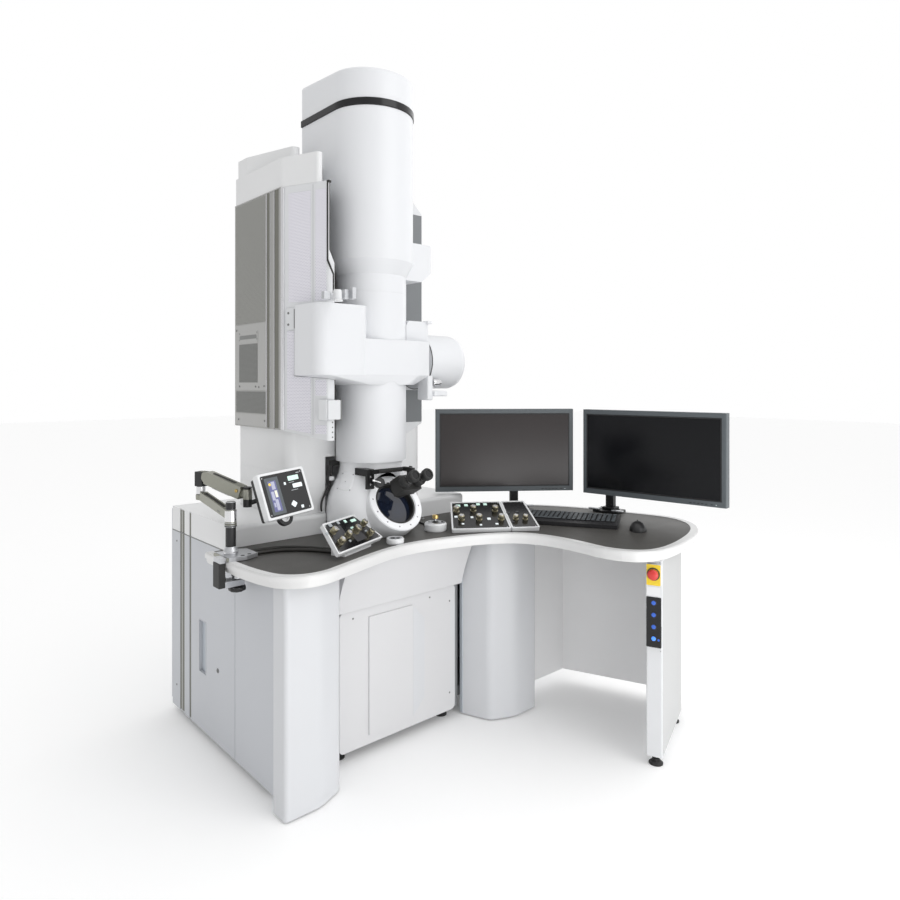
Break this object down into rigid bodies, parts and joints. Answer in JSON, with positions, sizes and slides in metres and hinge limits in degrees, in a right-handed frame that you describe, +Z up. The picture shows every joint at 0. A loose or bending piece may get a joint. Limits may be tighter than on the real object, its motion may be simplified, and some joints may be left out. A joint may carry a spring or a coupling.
{
  "type": "transmission electron microscope",
  "caption": "Floor-standing transmission electron microscope: tall covered column and tower on a console with a curved winged desk, control boxes, monitors and viewing chamber.",
  "frame": {"origin": "centre of the footprint box on the floor, at the undersides of the feet and of the pillars", "axes": "+Z up; -Y towards the seated operator; +X to the operator's right, where the desk's wing runs"},
  "size_m": [1.7941, 1.6249, 2.5639],
  "materials": {
    "white_paint": "satin cool white, fine texture",
    "blue_gray_paint": "satin blue gray",
    "light_gray_paint": "satin light gray",
    "gray_metal": "brushed olive gray",
    "frame_steel": "matt gray",
    "dark_wood": "matt dark inlay",
    "white_edge": "satin white nosing",
    "white_plastic": "satin white",
    "black_plastic": "fine-grained black",
    "gloss_black": "polished black",
    "black_metal": "satin black",
    "bright_steel": "machined",
    "arm_aluminium": "satin olive gray",
    "leaded_glass": "dark navy leaded glass",
    "red_plastic": "moulded",
    "knob_metal": "knurled, nickel and brass tint",
    "foot_rubber": "matt black",
    "cable_black": "smooth flexible jacket"
  },
  "bodies": {
    "console": {"arm_clamp_post": "bright_steel", "base_frame": "frame_steel", "binocular_bracket": "black_plastic", "cable_left_back": "cable_black", "cable_left_front": "cable_black", "column_band": "gloss_black", "column_cap": "white_paint", "column_lower_cover": "white_paint", "column_upper_cover": "white_paint", "console_panels": "white_paint", "control_box_left": "white_plastic", "control_box_right": "white_plastic", "control_pods": "white_plastic", "desk_edge": "white_edge", "desk_top": "dark_wood", "electron_column": "bright_steel", "front_access_panel": "light_gray_paint", "front_apron": "light_gray_paint", "gonio_cover": "white_paint", "gonio_housing": "white_paint", "joystick_cable": "cable_black", "keyboard": "black_plastic", "levelling_feet": "foot_rubber", "modesty_panel": "light_gray_paint", "monitor_stands": "black_metal", "mouse": "black_plastic", "pillars": "blue_gray_paint", "rear_cabinet_cover": "white_paint", "tower_lower_cover": "white_paint", "tower_side_panels": "gray_metal", "tower_upper_cover": "white_paint", "viewing_chamber": "white_paint", "viewing_glass": "leaded_glass", "wing_covers": "white_paint", "wing_leg": "white_paint"},
    "arm_lower": {"arm_lower": "arm_aluminium"},
    "arm_elbow": {"arm_elbow": "black_plastic"},
    "arm_upper": {"arm_upper": "arm_aluminium"},
    "display_bracket": {"display_bracket": "black_plastic"},
    "display": {"display_unit": "white_plastic"},
    "monitor_left": {"monitor_left": "black_plastic"},
    "monitor_right": {"monitor_right": "black_plastic"},
    "estop": {"estop_button": "red_plastic"},
    "joystick": {"joystick": "black_plastic"},
    "binocular": {"binocular": "black_plastic"},
    "specimen_rod": {"specimen_holder": "bright_steel"},
    "knob_aux_1": {"knob_aux_1": "knob_metal"},
    "knob_aux_2": {"knob_aux_2": "knob_metal"},
    "knob_left_1": {"knob_left_1": "knob_metal"},
    "knob_left_2": {"knob_left_2": "knob_metal"},
    "knob_left_3": {"knob_left_3": "knob_metal"},
    "knob_left_4": {"knob_left_4": "knob_metal"},
    "knob_left_5": {"knob_left_5": "knob_metal"},
    "knob_left_6": {"knob_left_6": "knob_metal"},
    "knob_main_1": {"knob_main_1": "knob_metal"},
    "knob_main_2": {"knob_main_2": "knob_metal"},
    "knob_main_3": {"knob_main_3": "knob_metal"},
    "knob_main_4": {"knob_main_4": "knob_metal"},
    "knob_main_5": {"knob_main_5": "knob_metal"},
    "knob_main_6": {"knob_main_6": "knob_metal"}
  },
  "joints": [
    {"name": "arm_swivel", "type": "hinge", "parent": "console", "child": "arm_lower", "pos_m": [-0.8371, 0.0963, 0.89], "axis": [0, 0, 1], "range_deg": [-60, 40]},
    {"name": "elbow_swivel", "type": "hinge", "parent": "arm_lower", "child": "arm_elbow", "pos_m": [-0.8371, 0.3453, 0.95], "axis": [0, 0, 1], "range_deg": [-6, 22]},
    {"name": "arm_lift", "type": "hinge", "parent": "arm_elbow", "child": "arm_upper", "pos_m": [-0.8342, 0.33784, 1.022], "axis": [-0.9322, -0.362, 0], "range_deg": [-4, 25]},
    {"name": "display_pan", "type": "hinge", "parent": "arm_upper", "child": "display_bracket", "pos_m": [-0.7571, 0.1393, 0.966], "axis": [0, 0, 1], "range_deg": [-18, 20]},
    {"name": "display_tilt", "type": "hinge", "parent": "display_bracket", "child": "display", "pos_m": [-0.67645, 0.07023, 0.95779], "axis": [0.9934, 0.1147, 0], "range_deg": [-18, 15]},
    {"name": "monitor_left_tilt", "type": "hinge", "parent": "console", "child": "monitor_left", "pos_m": [0.50342, 0.12766, 1.043], "axis": [0.7961, -0.6051, 0], "range_deg": [-5, 10]},
    {"name": "monitor_right_tilt", "type": "hinge", "parent": "console", "child": "monitor_right", "pos_m": [0.8083, -0.48708, 1.043], "axis": [0.139, -0.9903, 0], "range_deg": [-5, 10]},
    {"name": "estop_press", "type": "slide", "parent": "console", "child": "estop", "axis": [0.9341, 0.357, 0], "range_m": [0, 0.004], "stiffness_N_per_m": 900, "springref_m": -0.004},
    {"name": "joystick_tilt", "type": "hinge", "parent": "console", "child": "joystick", "pos_m": [-0.0461, -0.0307, 0.7914], "axis": [1, 0, 0], "range_deg": [-12, 12], "stiffness_Nm_per_rad": 0.4},
    {"name": "binocular_swing", "type": "hinge", "parent": "console", "child": "binocular", "pos_m": [-0.1571, 0.0173, 1.016], "axis": [1, 0, 0], "range_deg": [-12, 10]},
    {"name": "specimen_rod_slide", "type": "slide", "parent": "console", "child": "specimen_rod", "axis": [1, 0, 0], "range_m": [0, 0.1]},
    {"name": "knob_left_1_turn", "type": "hinge", "parent": "console", "child": "knob_left_1", "pos_m": [-0.56588, -0.10098, 0.84421], "axis": [0.2563, -0.5924, 0.7638], "continuous": true},
    {"name": "knob_left_2_turn", "type": "hinge", "parent": "console", "child": "knob_left_2", "pos_m": [-0.55743, -0.1356, 0.81452], "axis": [0.2563, -0.5924, 0.7638], "continuous": true},
    {"name": "knob_left_3_turn", "type": "hinge", "parent": "console", "child": "knob_left_3", "pos_m": [-0.50845, -0.10275, 0.82356], "axis": [0.2563, -0.5924, 0.7638], "continuous": true},
    {"name": "knob_left_4_turn", "type": "hinge", "parent": "console", "child": "knob_left_4", "pos_m": [-0.45704, -0.07551, 0.82743], "axis": [0.2563, -0.5924, 0.7638], "continuous": true},
    {"name": "knob_left_5_turn", "type": "hinge", "parent": "console", "child": "knob_left_5", "pos_m": [-0.39949, -0.03729, 0.83776], "axis": [0.2563, -0.5924, 0.7638], "continuous": true},
    {"name": "knob_left_6_turn", "type": "hinge", "parent": "console", "child": "knob_left_6", "pos_m": [-0.39348, -0.07131, 0.80936], "axis": [0.2563, -0.5924, 0.7638], "continuous": true},
    {"name": "knob_main_1_turn", "type": "hinge", "parent": "console", "child": "knob_main_1", "pos_m": [0.06245, -0.0339, 0.82826], "axis": [-0.1932, -0.2822, 0.9397], "continuous": true},
    {"name": "knob_main_2_turn", "type": "hinge", "parent": "console", "child": "knob_main_2", "pos_m": [0.1218, -0.07112, 0.82929], "axis": [-0.1932, -0.2822, 0.9397], "continuous": true},
    {"name": "knob_main_3_turn", "type": "hinge", "parent": "console", "child": "knob_main_3", "pos_m": [0.19258, -0.12528, 0.82758], "axis": [-0.1932, -0.2822, 0.9397], "continuous": true},
    {"name": "knob_main_4_turn", "type": "hinge", "parent": "console", "child": "knob_main_4", "pos_m": [0.03731, -0.09185, 0.80569], "axis": [-0.1932, -0.2822, 0.9397], "continuous": true},
    {"name": "knob_main_5_turn", "type": "hinge", "parent": "console", "child": "knob_main_5", "pos_m": [0.09589, -0.13197, 0.80569], "axis": [-0.1932, -0.2822, 0.9397], "continuous": true},
    {"name": "knob_main_6_turn", "type": "hinge", "parent": "console", "child": "knob_main_6", "pos_m": [0.1672, -0.18535, 0.80432], "axis": [-0.1932, -0.2822, 0.9397], "continuous": true},
    {"name": "knob_aux_1_turn", "type": "hinge", "parent": "console", "child": "knob_aux_1", "pos_m": [0.21588, -0.21868, 0.80432], "axis": [-0.1932, -0.2822, 0.9397], "continuous": true},
    {"name": "knob_aux_2_turn", "type": "hinge", "parent": "console", "child": "knob_aux_2", "pos_m": [0.247, -0.24227, 0.80363], "axis": [-0.1932, -0.2822, 0.9397], "continuous": true}
  ]
}
